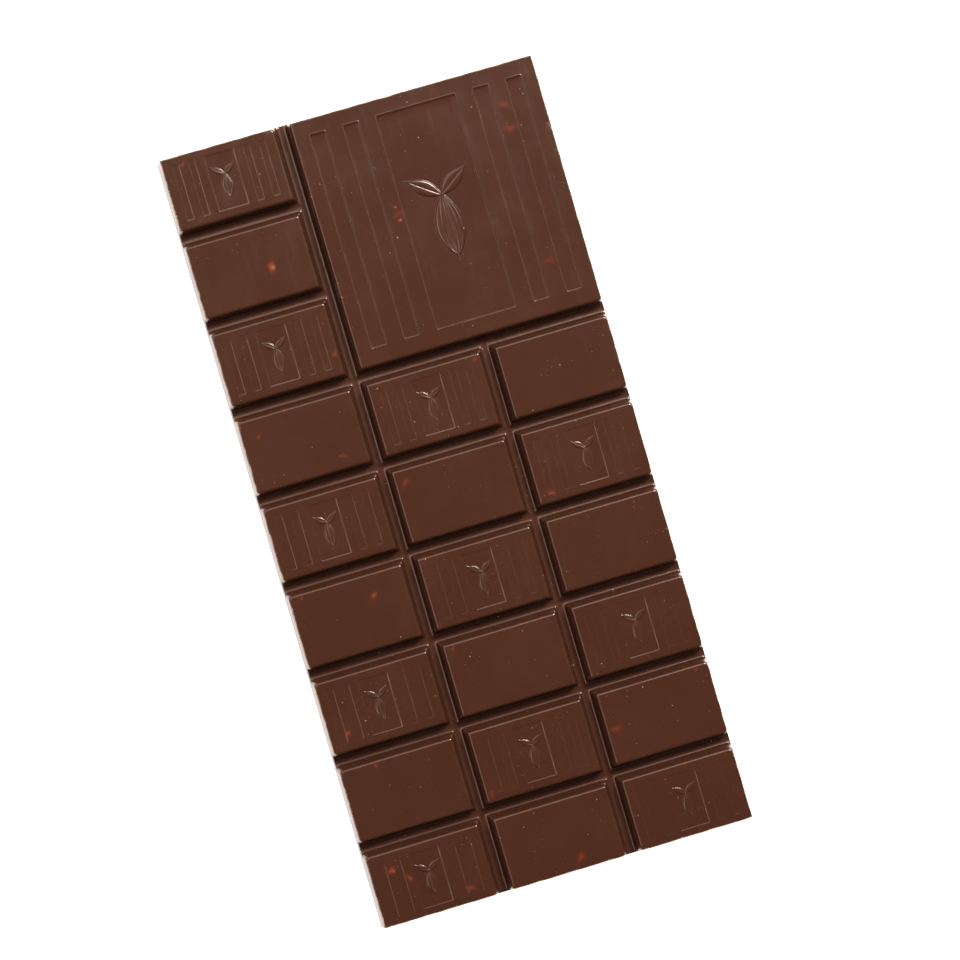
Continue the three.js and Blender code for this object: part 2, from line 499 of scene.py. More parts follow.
@dataclass(frozen=True)
class Relief:
    """Stripes on both sides of a field with its motif, sunk into one face."""

    x: float
    y: float
    width: float
    length: float
    stripe: float
    gap: float
    margin_x: float
    margin_y: float
    depth: float
    end_slope: float
    stripes_a_side: int = 2
    ribs: float = 2.5
    bead_share: float = 0.13
    bowl_depth: float = 0.08
    bowl_reach: float = 0.6
    bowl_squeeze: float = 1.25
    motif_reach: float = 3.1
    slope: float = 0.1
    stripe_share: float = 0.85
    # Strength of the pale paint on the recesses' long and lower edges: a painted highlight line.
    wear_and_sheen: float = 0.3
    steps_in: tuple[float, ...] = FINE_STEPS
    spacing: float = 0.95

    @property
    def half_length(self) -> float:
        """Half the length of the stripes and the field."""
        return self.length / 2 - self.margin_y

    @property
    def stripes(self) -> list[Recess]:
        """Recesses of the stripes.

        Returns:
            Recesses from the outside inwards, the left one of each pair first.
        """
        result = []
        outermost = self.width / 2 - self.margin_x - self.stripe / 2
        for i in range(self.stripes_a_side):
            offset = outermost - i * (self.stripe + self.gap)
            for side in (-1, 1):
                result.append(self._recess(self.x + side * offset, self.stripe / 2))
        return result

    @property
    def field_recess(self) -> Recess:
        """Recess that the motif stands in."""
        half = self.width / 2 - self.margin_x - self.stripes_a_side * (self.stripe + self.gap)
        return self._recess(self.x, half)

    def _recess(self, x: float, half: float) -> Recess:
        """Recess of the full length with a given middle and half width."""
        return Recess(x, self.y, half, self.half_length, self.end_slope, self.slope)

    @property
    def recesses(self) -> list[Recess]:
        """All recesses, the field's last."""
        return [*self.stripes, self.field_recess]

    @property
    def motif(self) -> PodMotif:
        """Motif in the middle of the field."""
        size = min(2 * self.half_length, self.field_recess.half_x * self.motif_reach)
        return PodMotif(self.x, self.y, size, ribs=self.ribs)

    def depth_at(self, x: np.ndarray, y: np.ndarray) -> np.ndarray:
        """How far below the face the relief lies at each point.

        Args:
            x: Places across the bar.
            y: Places along the bar.

        Returns:
            Depth of each point.
        """
        down = np.zeros(x.shape)
        for stripe in self.stripes:
            down = np.maximum(down, stripe.share(x, y) * self.stripe_share)
        sunk = (self.depth + self._bowl(x, y)) * self.field_recess.share(x, y)
        result = np.where(down > 0, self.depth * down, sunk * (1 - self.motif.height(x, y)))
        for recess in self.recesses:
            result -= self.bead_share * self.depth * recess.bead(x, y)
        return result

    def _bowl(self, x: np.ndarray, y: np.ndarray) -> np.ndarray:
        """Soft hollow that lets the motif stand out without rising over the face.

        Args:
            x: Places across the bar.
            y: Places along the bar.

        Returns:
            Extra depth of each point.
        """
        reach = self.bowl_reach * self.motif.size
        away = np.hypot((x - self.x) * self.bowl_squeeze, y - self.y) / reach
        return self.bowl_depth * smooth_step(self.bowl_squeeze * (1 - away))

    def sheen_and_wear_edges(self, x: np.ndarray, y: np.ndarray) -> np.ndarray:
        """Which points lie on the recesses' edges that get a pale painted highlight line."""
        return np.logical_or.reduce([recess.sheen_and_wear_edges(x, y) for recess in self.recesses])

    def loops(self) -> list[np.ndarray]:
        """Closed rows of points that the mesh of the face needs along the recesses."""
        rows = (recess.loops(self.steps_in, self.spacing) for recess in self.recesses)
        return [row for recess_rows in rows for row in recess_rows]


@dataclass(frozen=True)
class FruitSpot:
    """Speck of dried fruit that shines through the surface of a face."""

    x: float
    y: float
    radius: float
    strength: float

    def rings(self) -> np.ndarray:
        """Points round the speck that let its colour fade smoothly.

        Returns:
            The middle and five rings round it.
        """
        points = [(self.x, self.y)]
        for share, count in SPOT_RINGS:
            for i in range(count):
                turn = (i + share) * 2 * math.pi / count
                reach = share * self.radius
                points.append((self.x + reach * math.cos(turn), self.y + reach * math.sin(turn)))
        return np.array(points)

    def share(self, x: np.ndarray, y: np.ndarray) -> np.ndarray:
        """Strength of the speck's colour at each point.

        Args:
            x: Places across the bar.
            y: Places along the bar.

        Returns:
            Share of each point, fading outwards.
        """
        turn = np.arctan2(y - self.y, x - self.x)
        skew = 1 + 0.28 * np.sin(2 * turn + self.x) + 0.18 * np.sin(3 * turn + self.y)
        away = np.hypot(x - self.x, y - self.y) / self.radius * skew
        return self.strength * np.exp(-2.2 * away**2)

    def tip(self, x: np.ndarray, y: np.ndarray) -> np.ndarray:
        """Strength of the speck's pale tip at each point.

        Args:
            x: Places across the bar.
            y: Places along the bar.

        Returns:
            Share of each point, fading outwards.
        """
        reach = 0.45 * self.radius
        away = np.hypot(x - self.x - reach, y - self.y + 0.7 * reach) / reach
        return 1.4 * self.strength**6 * np.exp(-1.6 * away**2)


SPOT_PLACES = (
    (-23.1, 53.1, 0.9, 0.9), (30.6, 71.1, 0.95, 0.36), (30.2, 66.3, 1.1, 0.34),
    (4.1, 56.2, 1.0, 0.22), (3.8, 57.6, 0.32, 0.8), (4.0, 54.9, 0.36, 0.95),
    (-33.8, -68.4, 0.8, 0.75), (-30.8, -70.9, 0.6, 0.65), (-19.8, -76.2, 0.7, 0.5),
    (-34.2, 77.2, 0.5, 0.45), (-21.9, -15.0, 0.7, 0.65), (-34.6, -39.8, 0.7, 0.6),
    (-15.9, 33.0, 0.6, 0.6), (-16.9, -64.0, 0.6, 0.45), (17.7, -5.4, 0.8, 0.4),
    (3.1, -76.6, 0.9, 0.45), (-9.5, 4.8, 0.8, 0.35), (-34.9, 21.5, 0.6, 0.35),
    (-35.7, -11.5, 0.4, 0.5), (10.6, 24.3, 0.5, 0.4), (-19.8, 13.2, 0.8, 0.3),
    (17.0, -54.3, 0.9, 0.4), (-9.8, -29.6, 0.6, 0.35), (-31.0, -47.5, 0.5, 0.5),
    (30.4, 39.0, 0.9, 0.3), (-10.6, -59.5, 0.6, 0.35), (35.7, -47.5, 0.4, 0.5),
)
FRUIT_SPOTS = [FruitSpot(*spot) for spot in SPOT_PLACES]


def graded_stops(low: float, high: float, step: float) -> list[float]:
    """Places along one side of a segment, closer together near its ends.

    Args:
        low: Start of the side.
        high: End of the side.
        step: Largest distance between places.

    Returns:
        Places between the ends, in rising order.
    """
    inner_low, inner_high = low + END_STOPS[-1], high - END_STOPS[-1]
    count = max(1, math.ceil((inner_high - inner_low) / step))
    middle = [inner_low + (inner_high - inner_low) * i / count for i in range(1, count)]
    return [low + n for n in END_STOPS] + middle + [high - n for n in reversed(END_STOPS)]


@dataclass
class MeshParts:
    """Vertices and faces that are gathered before they become one mesh."""

    points: list[np.ndarray] = field(default_factory=list)
    faces: list[tuple[int, ...]] = field(default_factory=list)
    count: int = 0

    def add(self, points: np.ndarray, faces: Iterable[Iterable[int]]) -> None:
        """Add a patch, whose faces count from its own first point.

        Args:
            points: Points of the patch.
            faces: Corners of its faces.
        """
        self.points.append(points)
        self.faces.extend(tuple(i + self.count for i in face) for face in faces)
        self.count += len(points)

    def welded(self, tolerance: float = 1e-4) -> tuple[np.ndarray, list[tuple[int, ...]]]:
        """Join points that coincide and drop what collapses.

        Args:
            tolerance: Distance below which two points are one.

        Returns:
            Points and faces of the joined mesh.
        """
        points = np.concatenate(self.points)
        keys = np.round(points / tolerance).astype(np.int64)
        _, first, where = np.unique(keys, axis=0, return_index=True, return_inverse=True)
        where = where.reshape(-1)
        faces = []
        for face in self.faces:
            ring = [int(where[i]) for i in face]
            ring = [v for i, v in enumerate(ring) if v != ring[i - 1]]
            if len(ring) > 2 and len(set(ring)) == len(ring):
                faces.append(tuple(ring))
        return points[first], faces


def triangulate(
    boundary: np.ndarray,
    inner: np.ndarray,
    loops: Iterable[np.ndarray] = (),
    lines: Iterable[np.ndarray] = (),
    bulge: float = 0.01,
) -> tuple[np.ndarray, list[tuple[int, ...]]]:
    """Fill a closed boundary with triangles that keep to the given points and lines.

    The boundary is bowed outwards while the triangles are sought, so that points in a
    straight row stay corners of the outline.

    Args:
        boundary: Points of the boundary, anticlockwise.
        inner: Loose points inside it.
        loops: Closed lines that become edges.
        lines: Open lines that become edges.
        bulge: Share by which the boundary is bowed outwards.

    Returns:
        Flat points and triangles.
    """
    middle = (boundary.min(axis=0) + boundary.max(axis=0)) / 2
    away = boundary - middle
    square = np.sum(away**2, axis=1, keepdims=True)
    bowed = away * (1 + bulge * (1 - square / square.max()))
    points = [tuple(p) for p in np.concatenate([bowed, inner - middle])]
    edges: list[tuple[int, int]] = []
    for path, closed in [*((loop, True) for loop in loops), *((line, False) for line in lines)]:
        first = len(points)
        points.extend(tuple(p) for p in path - middle)
        edges.extend((first + i, first + i + 1) for i in range(len(path) - 1))
        if closed:
            edges.append((len(points) - 1, first))
    ring = list(range(len(boundary)))
    out = delaunay_2d_cdt(points, edges, [ring], 1, 1e-6)
    flat = np.array([(p[0], p[1]) for p in out[0]]) + middle
    for i, origins in enumerate(out[3]):
        for origin in origins:
            if origin < len(boundary):
                flat[i] = boundary[origin]
    return flat, [tuple(face) for face in out[2]]


@dataclass
class Segment:
    """One raised segment of the bar: its face, rim, walls and half of each groove."""

    sizes: MouldSizes
    box: Box
    sides: tuple[Side, Side, Side, Side]
    contours: list[Contour]
    stops_x: list[float]
    stops_y: list[float]
    relief: Optional[Relief] = None
    grid_step: float = 1.7
    grid_inset: Span = (1.1, 0.9)
    edge_room: float = 0.75
    motif_room: float = 0.5
    rim_room: float = 0.45

    def add_to(self, parts: MeshParts) -> None:
        """Add the segment's contours and face to the bar's mesh.

        Args:
            parts: Mesh that is being gathered.
        """
        loops = [self._loop(contour) for contour in self.contours]
        parts.add(np.concatenate(loops), ring_faces(len(loops), len(loops[0])))
        self._add_face(parts, loops[0])

    def _span(self, contour: Contour) -> Box:
        """Low x, high x, low y and high y of a contour.

        Args:
            contour: Level line of this segment.

        Returns:
            The four measures.
        """
        left, right, bottom, top = self.box
        reach = [contour.reach(side) for side in self.sides]
        return left - reach[0], right + reach[1], bottom - reach[2], top + reach[3]

    def _loop(self, contour: Contour) -> np.ndarray:
        """Points of one contour, anticlockwise from the right side's lower end.

        Args:
            contour: Level line of this segment.

        Returns:
            Closed row of points.
        """
        x0, x1, y0, y1 = self._span(contour)
        left, right, bottom, top = self.sides
        pairs = ((right, top), (top, left), (left, bottom), (bottom, right))
        radii = [contour.radius(*pair) for pair in pairs]
        border = self._span(self.contours[-1])
        rising = self._carried(self.stops_y, border[2:], (y0 + radii[3], y1 - radii[0]))
        falling = self._carried(self.stops_y, border[2:], (y0 + radii[2], y1 - radii[1]))
        upper = self._carried(self.stops_x, border[:2], (x0 + radii[1], x1 - radii[0]))
        lower = self._carried(self.stops_x, border[:2], (x0 + radii[2], x1 - radii[3]))
        points = [(x1, y) for y in rising]
        points += self._arc(x1 - radii[0], y1 - radii[0], radii[0], 0)
        points += [(x, y1) for x in reversed(upper)]
        points += self._arc(x0 + radii[1], y1 - radii[1], radii[1], 1)
        points += [(x0, y) for y in reversed(falling)]
        points += self._arc(x0 + radii[2], y0 + radii[2], radii[2], 2)
        points += [(x, y0) for x in lower]
        points += self._arc(x1 - radii[3], y0 + radii[3], radii[3], 3)
        flat = np.array(points)
        height = np.full((len(flat), 1), self.sizes.thickness - contour.depth)
        return np.concatenate([flat, height], axis=1)

    @staticmethod
    def _carried(stops: list[float], border: Span, side: Span) -> list[float]:
        """Carry stops on the segment's border over to the side of a contour.

        Args:
            stops: Stops on the border.
            border: Ends of the border's side.
            side: Ends of the contour's straight side.

        Returns:
            Stops on the contour.
        """
        low, high = border
        start, end = side
        return [start + (end - start) * (s - low) / (high - low) for s in stops]

    @staticmethod
    def _arc(x: float, y: float, radius: float, quarter: int) -> list[tuple[float, float]]:
        """Points of a rounded corner."""
        turns = [(quarter + i / CORNER_STEPS) * math.pi / 2 for i in range(CORNER_STEPS + 1)]
        return [(x + radius * math.cos(t), y + radius * math.sin(t)) for t in turns]

    def _add_face(self, parts: MeshParts, rim: np.ndarray) -> None:
        """Fill the segment's face, with its relief and the specks of fruit.

        Args:
            parts: Mesh that is being gathered.
            rim: Uppermost row of points round the face.
        """
        left, right, bottom, top = self.box
        first, last = self.grid_inset
        xs = np.arange(left + first, right - last, self.grid_step)
        ys = np.arange(bottom + first, top - last, self.grid_step)
        grid = np.stack(np.meshgrid(xs, ys), -1).reshape(-1, 2)
        if self.relief:
            busy = self.relief.motif.near(*grid.T, self.motif_room)
            for recess in self.relief.recesses:
                busy |= np.abs(recess.inside(*grid.T)) < self.edge_room
            grid = grid[~busy]
        points = np.concatenate([grid, *(spot.rings() for spot in FRUIT_SPOTS)])
        room = self.rim_room
        keep = (points[:, 0] > left + room) & (points[:, 0] < right - room)
        keep &= (points[:, 1] > bottom + room) & (points[:, 1] < top - room)
        loops = self.relief.loops() if self.relief else []
        lines = self.relief.motif.lines() if self.relief else []
        flat, faces = triangulate(rim[:, :2], points[keep], loops, lines)
        height = np.full(len(flat), self.sizes.thickness)
        if self.relief:
            height -= self.relief.depth_at(flat[:, 0], flat[:, 1])
        parts.add(np.column_stack([flat, height]), faces)


@dataclass(frozen=True)
class Handling:
    """Small chips and wandering rims of a bar that was handled."""

    sizes: MouldSizes
    chips: int = 24
    low_share: float = 0.4
    low_heights: Span = (0.2, 1.0)
    chip_sizes: Span = (0.3, 0.6)
    chip_pulls: Span = (0.06, 0.16)
    side_pull: float = 0.6
    down_pull: float = 0.7
    flattening: float = 0.8
    wander: float = 0.11
    wander_depth: float = 1.2
    wander_start: float = 0.45
    wander_ease: float = 0.3

    def chipped(self, points: np.ndarray) -> np.ndarray:
        """Chip the outer rims a little.

        Args:
            points: Places of all vertices.

        Returns:
            Places after chipping.
        """
        rng = np.random.default_rng(SEED)
        s = self.sizes
        halves = (s.half_width, s.half_length)
        result = points.copy()
        for _ in range(self.chips):
            side = rng.integers(4)
            along = rng.uniform(-1, 1)
            axis = side // 2
            centre = [along * half for half in halves]
            centre[axis] = -halves[axis] if side % 2 else halves[axis]
            low = rng.random() < self.low_share
            z = rng.uniform(*self.low_heights) if low else s.thickness
            if low:
                centre[axis] += math.copysign(s.draft, centre[axis])
            size = rng.uniform(*self.chip_sizes)
            offset = (points - (*centre, z)) / (1, 1, self.flattening)
            away = np.linalg.norm(offset, axis=1)
            near = away < size
            pull = (1 - away[near] / size) * rng.uniform(*self.chip_pulls)
            result[near, axis] -= np.sign(points[near, axis]) * pull * self.side_pull
            if not low:
                result[near, 2] -= pull * self.down_pull
        return result

    def wandered(self, points: np.ndarray) -> np.ndarray:
        """Let the outer rims wander a little inwards along their length.

        Args:
            points: Places of all vertices.

        Returns:
            Places after the change.
        """
        s, depth = self.sizes, self.wander_depth
        high = smooth_step((points[:, 2] - s.thickness + depth) / depth)
        result = points.copy()
        for axis, half in ((0, s.half_width), (1, s.half_length)):
            side = np.sign(points[:, axis])
            along = points[:, 1 - axis] + side * 7.3
            wave = 0.5 + 0.25 * np.sin(along * 1.7) + 0.25 * np.sin(along * 0.83 + 1.0)
            reach = np.abs(points[:, axis]) - half + self.wander_start
            near = high * smooth_step(reach / self.wander_ease)
            result[:, axis] -= side * near * self.wander * wave
        return result


@dataclass(frozen=True)
class WearAndSheenRule:
    """How much pale paint each kind of edge gets, and which heights and bands count as each kind.
    On the rims the paint is partly wear and partly a painted highlight along the rim; on the back
    rim it is wear.
    """

    # Pale paint on the outer and groove rims is partly wear and partly a painted highlight; the
    # back rim's is wear.
    outer_rim: float = 1.0
    groove_rim: float = 0.15
    back_rim: float = 0.7
    outer_band: float = 0.3
    rim_heights: Span = (0.01, 0.9)
    rim_margin: float = 0.02
    face_depth: float = 0.5
    fruit_depth: float = 1.0
    back_heights: Span = (0.01, 0.12)
    poured_height: float = 0.2


@dataclass
class BarBody:
    """Whole bar: segments, outer walls and poured back as one closed surface."""

    sizes: MouldSizes = field(default_factory=MouldSizes)
    profile: WallProfile = field(default_factory=WallProfile)
    wear_and_sheen: WearAndSheenRule = field(default_factory=WearAndSheenRule)
    stop_step: float = 1.3
    small_depth: float = 0.047
    panel_depth: float = 0.19
    wall_drops: tuple[float, ...] = (0.0, 0.3, 1.2, 2.2)
    wall_end: float = 0.25
    back_edge: tuple[Span, ...] = ((0.02, 0.1), (0.1, 0.02), (0.22, 0.0))
    back_inset: float = 0.8
    back_grid: tuple[int, int] = (40, 80)
    back_wave: float = 0.05
    back_calm: float = 4.0

    def build(self) -> bpy.types.Object:
        """Build the bar's closed mesh with the attributes that its material reads.

        Returns:
            Smooth bar, still without its waviness.
        """
        parts = MeshParts()
        segments = self._segments()
        for segment in segments:
            segment.add_to(parts)
        self._add_walls_and_back(parts, self._lower_border(parts))
        points, faces = parts.welded()
        handling = Handling(self.sizes)
        points = handling.wandered(handling.chipped(points))
        mesh = bpy.data.meshes.new("chocolate_body")
        mesh.from_pydata((points * MM).tolist(), [], faces)
        mesh.validate()
        mesh.shade_smooth()
        self._paint(mesh, points, segments)
        return placed("chocolate_body", mesh)

    def _small_relief(self, column: int, row: int) -> Optional[Relief]:
        """Relief of a small segment, or None for a plain one.

        Args:
            column: Column, counted from the left.
            row: Row, counted from the top.

        Returns:
            The relief or None.
        """
        s = self.sizes
        if (column + row) % 2:
            return None
        return Relief(
            s.column_x(column), s.row_y(row), s.face_width, s.face_length,
            stripe=1.5, gap=1.75, margin_x=2.0, margin_y=1.5, depth=self.small_depth,
            end_slope=0.3, slope=0.22, stripe_share=0.55, bead_share=0.04, ribs=1.5,
            wear_and_sheen=0.08, steps_in=COARSE_STEPS,
        )

    def _panel_relief(self) -> Relief:
        """Relief of the large panel.

        Returns:
            Relief with the panel's own sizes.
        """
        s = self.sizes
        x = (s.column_x(1) + s.column_x(2)) / 2
        y = s.row_y((s.panel_rows - 1) // 2)
        width = s.face_width + s.pitch_x
        length = s.face_length + (s.panel_rows - 1) * s.pitch_y
        return Relief(
            x, y, width, length,
            stripe=3.1, gap=3.7, margin_x=3.2, margin_y=3.2, depth=self.panel_depth,
            end_slope=0.44,
        )

    def _segments(self) -> list[Segment]:
        """List all segments: small ones, and the panel in place of six.

        Returns:
            Small segments column by column, and the panel last.
        """
        s = self.sizes
        contours = self.profile.contours(s)
        half_x, half_y = s.face_width / 2, s.face_length / 2
        across = [(Side.at(i == 0), Side.at(i == s.columns - 1)) for i in range(s.columns)]
        along = [(Side.at(i == s.rows - 1), Side.at(i == 0)) for i in range(s.rows)]
        xs = [self._stops(pair, s.column_x(i), half_x) for i, pair in enumerate(across)]
        ys = [self._stops(pair, s.row_y(i), half_y) for i, pair in enumerate(along)]
        result = []
        for column, row in itertools.product(range(s.columns), range(s.rows)):
            if column > 0 and row < s.panel_rows:
                continue
            x, y = s.column_x(column), s.row_y(row)
            box = (x - half_x, x + half_x, y - half_y, y + half_y)
            sides = (*across[column], *along[row])
            relief = self._small_relief(column, row)
            result.append(Segment(s, box, sides, contours, xs[column][1:], ys[row][1:], relief))
        result.append(self._panel(contours, xs, ys))
        return result

    def _stops(self, sides: tuple[Side, Side], middle: float, half: float) -> list[float]:
        """Work out the stops along one side of a segment's border.

        Args:
            sides: What the segment borders on at its low and its high end.
            middle: Middle of its face.
            half: Half the length of its face.

        Returns:
            The border's low end and the stops after it.
        """
        last = self.profile.contours(self.sizes)[-1]
        low, high = middle - half - last.reach(sides[0]), middle + half + last.reach(sides[1])
        return [low, *graded_stops(low, high, self.stop_step)]

    def _panel(
        self, contours: list[Contour], xs: list[list[float]], ys: list[list[float]]
    ) -> Segment:
        """Build the large panel, whose border takes up the stops of its neighbours.

        Args:
            contours: Level lines round each segment.
            xs: Stops of each column, led by its border's low end.
            ys: Stops of each row, led by its border's low end.

        Returns:
            Segment of the panel.
        """
        s, relief = self.sizes, self._panel_relief()
        half_x, half_y = relief.width / 2, relief.length / 2
        box = (relief.x - half_x, relief.x + half_x, relief.y - half_y, relief.y + half_y)
        stops_x = [stop for column in xs[1:] for stop in column][1:]
        stops_y = [stop for row in reversed(ys[: s.panel_rows]) for stop in row][1:]
        sides = (Side.GROOVE, Side.OUTER, Side.GROOVE, Side.OUTER)
        return Segment(s, box, sides, contours, stops_x, stops_y, relief)

    def _lower_border(self, parts: MeshParts) -> np.ndarray:
        """Find the open lower edge of the segments' outer walls.

        Args:
            parts: Mesh that is being gathered.

        Returns:
            Points of the edge, anticlockwise.
        """
        points, faces = parts.welded()
        edges = dict.fromkeys(pair for face in faces for pair in zip(face, face[1:] + face[:1]))
        follow = {b: a for a, b in edges if (b, a) not in edges}
        start = next(iter(follow))
        ring = [start]
        while follow[ring[-1]] != start:
            ring.append(follow[ring[-1]])
        if len(ring) != len(follow):
            LOG.warning("border has %d points of %d", len(ring), len(follow))
        border = points[ring]
        x, y = border[:, 0], border[:, 1]
        area = np.sum(x * np.roll(y, -1) - np.roll(x, -1) * y)
        return border[::-1] if area < 0 else border

    def _outward(self, border: np.ndarray) -> np.ndarray:
        """Direction that each point of the border moves in as the wall widens.

        Args:
            border: Lower edge of the segments' outer walls.

        Returns:
            1, 0 or -1 along both axes for each point.
        """
        s, r = self.sizes, self.profile.bar_radius
        last = self.profile.contours(s)[-1]
        inner_x = s.half_width + last.outer_reach - r
        inner_y = s.half_length + last.outer_reach - r
        slack = 1e-6
        dx = np.sign(border[:, 0]) * (np.abs(border[:, 0]) > inner_x - slack)
        dy = np.sign(border[:, 1]) * (np.abs(border[:, 1]) > inner_y - slack)
        return np.column_stack([dx, dy])

    def _add_walls_and_back(self, parts: MeshParts, border: np.ndarray) -> None:
        """Close the bar below the grooves with its outer walls and its back.

        Args:
            parts: Mesh that is being gathered.
            border: Lower edge of the segments' outer walls, anticlockwise.
        """
        outward = self._outward(border)
        slope = math.tan(self.profile.outer_lean)
        top = border[0, 2]
        levels = [(drop * slope, top - drop) for drop in self.wall_drops]
        levels.append(((top - self.wall_end) * slope, self.wall_end))
        levels += [(top * slope - inset, z) for inset, z in self.back_edge]
        loops = [
            np.column_stack([border[:, :2] + outward * reach, np.full(len(border), z)])
            for reach, z in levels
        ]
        parts.add(np.concatenate(loops), ring_faces(len(loops), len(border)))
        self._add_back(parts, loops[-1])

    def _add_back(self, parts: MeshParts, rim: np.ndarray) -> None:
        """Fill the poured back with a slightly wavy sheet.

        Args:
            parts: Mesh that is being gathered.
            rim: Lowest row of points of the walls.
        """
        s = self.sizes
        reach_x, reach_y = s.half_width - self.back_inset, s.half_length - self.back_inset
        xs = np.linspace(-reach_x, reach_x, self.back_grid[0])
        ys = np.linspace(-reach_y, reach_y, self.back_grid[1])
        grid = np.stack(np.meshgrid(xs, ys), -1).reshape(-1, 2)
        flat, faces = triangulate(rim[:, :2], grid, bulge=0.05)
        x, y = flat.T
        edge = np.minimum(s.half_width - np.abs(x), s.half_length - np.abs(y))
        wave = np.sin(x * 0.21 + 1.1) * np.sin(y * 0.13 + 0.4)
        wave += 0.6 * np.sin(x * 0.37 - y * 0.29)
        height = smooth_step(edge / self.back_calm) * self.back_wave * (1.0 + wave * 0.6)
        parts.add(np.column_stack([flat, np.maximum(height, 0)]), [face[::-1] for face in faces])

    def _paint(self, mesh: bpy.types.Mesh, points: np.ndarray, segments: list[Segment]) -> None:
        """Write the attributes that the material reads onto the vertices.

        Args:
            mesh: Mesh of the whole bar.
            points: Places of its vertices in millimetres.
            segments: All segments of the bar.
        """
        s, wear_and_sheen = self.sizes, self.wear_and_sheen
        x, y, z = points.T
        depth = s.thickness - z
        fruit, tip = np.zeros(len(points)), np.zeros(len(points))
        for spot in FRUIT_SPOTS:
            near = np.hypot(x - spot.x, y - spot.y) < 4 * spot.radius
            fruit[near] = np.maximum(fruit[near], spot.share(x[near], y[near]))
            tip[near] = np.maximum(tip[near], spot.tip(x[near], y[near]))
        fruit[depth > wear_and_sheen.fruit_depth] = tip[depth > wear_and_sheen.fruit_depth] = 0
        least, most = wear_and_sheen.rim_heights
        rim = (depth > least) & (depth < self.profile.rim_radius * most)
        rim &= self._outside_faces(x, y, segments)
        outer = np.abs(x) > s.half_width - wear_and_sheen.outer_band
        outer |= np.abs(y) > s.half_length - wear_and_sheen.outer_band
        # Rims get pale paint that is partly wear and partly a painted highlight along the rim.
        edge = np.where(rim, np.where(outer, wear_and_sheen.outer_rim, wear_and_sheen.groove_rim), 0.0)
        # The recesses' long and lower edges get pale paint as a painted highlight line.
        for relief in (segment.relief for segment in segments if segment.relief):
            edge[relief.sheen_and_wear_edges(x, y) & (depth < wear_and_sheen.face_depth)] = relief.wear_and_sheen
        least, most = wear_and_sheen.back_heights
        edge = np.maximum(edge, np.where((z > least) & (z < most), wear_and_sheen.back_rim, 0.0))
        looks = {
            Finish.FRUIT: fruit,
            Finish.TIP: tip,
            Finish.EDGE: edge,
            Finish.POURED: np.where(z < wear_and_sheen.poured_height, 1.0, 0.0),
        }
        for name, values in looks.items():
            layer = mesh.attributes.new(name.value, "FLOAT", "POINT")
            layer.data.foreach_set("value", values.astype(np.float32))

    def _outside_faces(self, x: np.ndarray, y: np.ndarray, segments: list[Segment]) -> np.ndarray:
        """Which points lie outside the flats of all faces.

        Args:
            x: Places across the bar.
            y: Places along the bar.
            segments: All segments of the bar.

        Returns:
            Whether each point lies outside.
        """
        margin = self.profile.holding - self.profile.rim_start + self.wear_and_sheen.rim_margin
        inside = np.zeros(x.shape, bool)
        for segment in segments:
            left, right, bottom, top = segment.box
            within = (x > left + margin) & (x < right - margin)
            inside |= within & (y > bottom + margin) & (y < top - margin)
        return ~inside


SocketValue = Union[float, int, str, tuple, bpy.types.NodeSocket, "Signal"]
Sockets = dict[Union[int, str], SocketValue]
Settings = dict[str, Any]


class Sheet:
    """Node tree that is filled by calls, for materials and Geometry Nodes alike."""

    def __init__(self, tree: bpy.types.NodeTree) -> None:
        """Take over a node tree and empty it."""
        self.tree = tree
        tree.nodes.clear()

    def node(self, kind: str, settings: Settings, sockets: Sockets) -> bpy.types.Node:
        """Add one node.

        Args:
            kind: Type of the node.
            settings: Properties that are set before the sockets.
            sockets: Values or links of its inputs, by name or index.

        Returns:
            The new node.
        """
        node = self.tree.nodes.new(kind)
        for name, value in settings.items():
            setattr(node, name, value)
        for key, value in sockets.items():
            self.feed(node.inputs[key], value)
        return node

    def feed(self, socket: bpy.types.NodeSocket, value: SocketValue) -> None:
        """Link a socket or set its value.

        Args:
            socket: Input of a node.
            value: Link, signal, number, text, vector or colour that it gets.
        """
        if isinstance(value, Signal):
            value = value.socket
        if isinstance(value, bpy.types.NodeSocket):
            self.tree.links.new(value, socket)
        else:
            socket.default_value = value

    def signal(
        self, kind: str, settings: Settings, sockets: Sockets, output: Union[int, str] = 0
    ) -> "Signal":
        """Add one node and wrap one of its outputs."""
        return Signal(self, self.node(kind, settings, sockets).outputs[output])

    def noise(
        self,
        place: SocketValue,
        scale: SocketValue,
        detail: float,
        rough: float = 0.5,
        output: Union[int, str] = 0,
    ) -> "Signal":
        """Noise between 0 and 1, or its vector when the colour output is asked for.

        Args:
            place: Coordinates that the noise is read at.
            scale: How fine it is.
            detail: Number of finer layers.
            rough: Weight of the finer layers.
            output: Output that is wrapped.

        Returns:
            The noise.
        """
        sockets = {"Vector": place, "Scale": scale, "Detail": detail, "Roughness": rough}
        return self.signal("ShaderNodeTexNoise", {}, sockets, output)

    def mix(self, share: SocketValue, first: SocketValue, second: SocketValue) -> "Signal":
        """Blend of two colours."""
        sockets = {0: share, 6: first, 7: second}
        return self.signal("ShaderNodeMix", {"data_type": "RGBA"}, sockets, 2)

    def vector(self, operation: str, sockets: Sockets) -> "Signal":
        """Result of a Vector Math node."""
        return self.signal("ShaderNodeVectorMath", {"operation": operation}, sockets)

    def surface(self, looks: Sockets) -> None:
        """End a material in a Principled shader with the given looks."""
        shader = self.node("ShaderNodeBsdfPrincipled", {}, looks)
        self.node("ShaderNodeOutputMaterial", {}, {"Surface": shader.outputs["BSDF"]})


